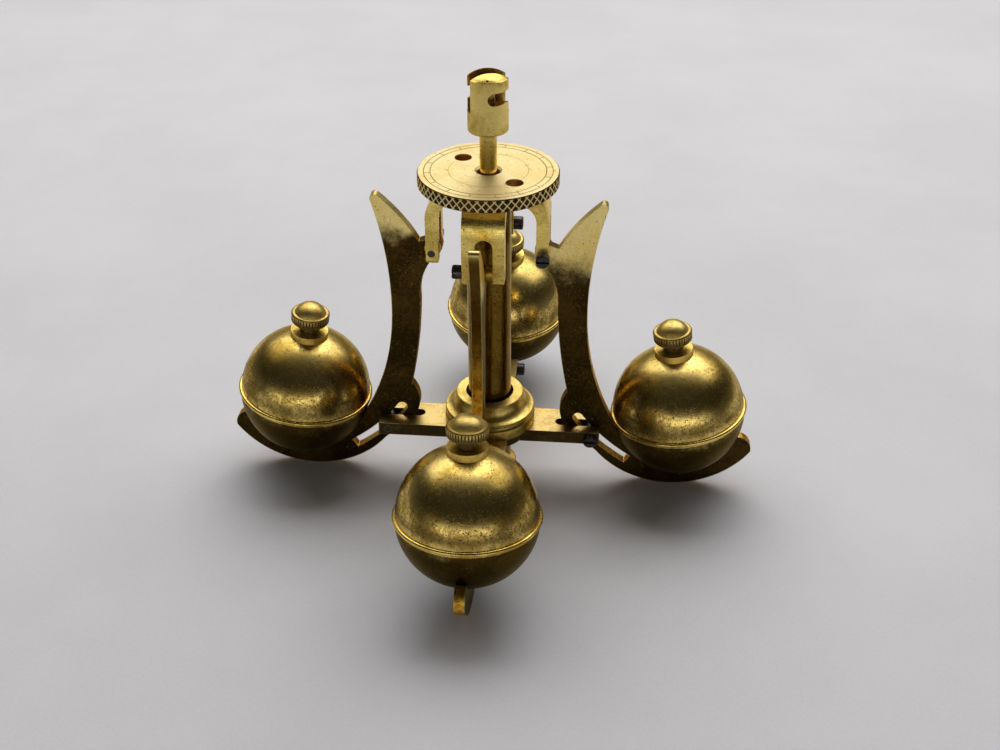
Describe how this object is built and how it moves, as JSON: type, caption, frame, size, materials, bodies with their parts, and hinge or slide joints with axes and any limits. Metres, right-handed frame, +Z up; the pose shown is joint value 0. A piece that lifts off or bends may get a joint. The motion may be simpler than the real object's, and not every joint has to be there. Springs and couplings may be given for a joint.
{
  "type": "centrifugal ball governor",
  "caption": "Centrifugal ball governor: slotted swinging arms carry hollow balls and lift a forked hub, spindle and bayonet coupling head; knurled disc sets the spring.",
  "frame": {"origin": "on the axis of rotation, at the level of the arms' feet and the drive collar's foot", "axes": "+Z up along the spindle; +X along one arm, the others are quarter turns of it"},
  "size_m": [0.1626, 0.1626, 0.1329],
  "materials": {
    "arm_brass": "brushed, tarnished",
    "ball_brass": "polished with tarnish and small pits",
    "turned_brass": "turned satin",
    "disc_brass": "pale satin, knurled rim",
    "tube_brass": "polished, darkened",
    "black_steel": "blackened",
    "bright_steel": "bright",
    "spring_steel": "drawn wire"
  },
  "bodies": {
    "column": {"column_tube": "tube_brass", "drive_collar": "tube_brass", "collar_screw": "black_steel", "spider": "turned_brass", "pivot_spacers": "turned_brass", "pivot_screw_right": "black_steel", "pivot_screw_back": "black_steel", "pivot_screw_left": "black_steel", "pivot_screw_front": "black_steel"},
    "disc": {"adjusting_disc": "disc_brass", "thrust_washer": "turned_brass"},
    "lift": {"spindle": "turned_brass", "coupling_head": "turned_brass", "hub_cap": "turned_brass", "hub_body": "turned_brass", "hub_screws": "black_steel", "cross_bars": "turned_brass", "cross_pin": "bright_steel", "lower_guide": "turned_brass", "compression_spring": "spring_steel", "slot_screw_right": "black_steel", "slot_screw_back": "black_steel", "slot_screw_left": "black_steel", "slot_screw_front": "black_steel"},
    "arm_right": {"arm_right": "arm_brass", "ball_lower_right": "ball_brass", "ball_upper_right": "ball_brass", "filler_boss_right": "ball_brass", "ball_screw_right": "black_steel", "ball_nut_right": "ball_brass"},
    "cap_right": {"filler_cap_right": "ball_brass"},
    "arm_back": {"arm_back": "arm_brass", "ball_lower_back": "ball_brass", "ball_upper_back": "ball_brass", "filler_boss_back": "ball_brass", "ball_screw_back": "black_steel", "ball_nut_back": "ball_brass"},
    "cap_back": {"filler_cap_back": "ball_brass"},
    "arm_left": {"arm_left": "arm_brass", "ball_lower_left": "ball_brass", "ball_upper_left": "ball_brass", "filler_boss_left": "ball_brass", "ball_screw_left": "black_steel", "ball_nut_left": "ball_brass"},
    "cap_left": {"filler_cap_left": "ball_brass"},
    "arm_front": {"arm_front": "arm_brass", "ball_lower_front": "ball_brass", "ball_upper_front": "ball_brass", "filler_boss_front": "ball_brass", "ball_screw_front": "black_steel", "ball_nut_front": "ball_brass"},
    "cap_front": {"filler_cap_front": "ball_brass"}
  },
  "joints": [
    {"name": "hub_lift", "type": "slide", "parent": "column", "child": "lift", "axis": [0, 0, 1], "range_m": [-0.011, 0.00586], "stiffness_N_per_m": 1500, "deforming": ["compression_spring"]},
    {"name": "disc_turn", "type": "hinge", "parent": "column", "child": "disc", "pos_m": [0, 0, 0.1], "axis": [0, 0, 1], "range_deg": [-150, 150]},
    {"name": "arm_swing_right", "type": "hinge", "parent": "column", "child": "arm_right", "pos_m": [0.016, -0.0007, 0.0802], "axis": [0, -1, 0], "range_deg": [-7.6, 4.1]},
    {"name": "cap_turn_right", "type": "hinge", "parent": "arm_right", "child": "cap_right", "pos_m": [0.05513, -0.0007, 0.04981], "axis": [-0.1305, 0, 0.9914], "range_deg": [0, 1800]},
    {"name": "arm_swing_back", "type": "hinge", "parent": "column", "child": "arm_back", "pos_m": [0.0007, 0.016, 0.0802], "axis": [1, 0, 0], "range_deg": [-7.6, 4.1]},
    {"name": "cap_turn_back", "type": "hinge", "parent": "arm_back", "child": "cap_back", "pos_m": [0.0007, 0.05513, 0.04981], "axis": [0, -0.1305, 0.9914], "range_deg": [0, 1800]},
    {"name": "arm_swing_left", "type": "hinge", "parent": "column", "child": "arm_left", "pos_m": [-0.016, 0.0007, 0.0802], "axis": [0, 1, 0], "range_deg": [-7.6, 4.1]},
    {"name": "cap_turn_left", "type": "hinge", "parent": "arm_left", "child": "cap_left", "pos_m": [-0.05513, 0.0007, 0.04981], "axis": [0.1305, 0, 0.9914], "range_deg": [0, 1800]},
    {"name": "arm_swing_front", "type": "hinge", "parent": "column", "child": "arm_front", "pos_m": [-0.0007, -0.016, 0.0802], "axis": [-1, 0, 0], "range_deg": [-7.6, 4.1]},
    {"name": "cap_turn_front", "type": "hinge", "parent": "arm_front", "child": "cap_front", "pos_m": [-0.0007, -0.05513, 0.04981], "axis": [0, 0.1305, 0.9914], "range_deg": [0, 1800]}
  ],
  "couplings": [
    {"joint": "arm_swing_right", "follows": "hub_lift", "rad_per_m": 11.905},
    {"joint": "arm_swing_back", "follows": "hub_lift", "rad_per_m": 11.905},
    {"joint": "arm_swing_left", "follows": "hub_lift", "rad_per_m": 11.905},
    {"joint": "arm_swing_front", "follows": "hub_lift", "rad_per_m": 11.905}
  ]
}
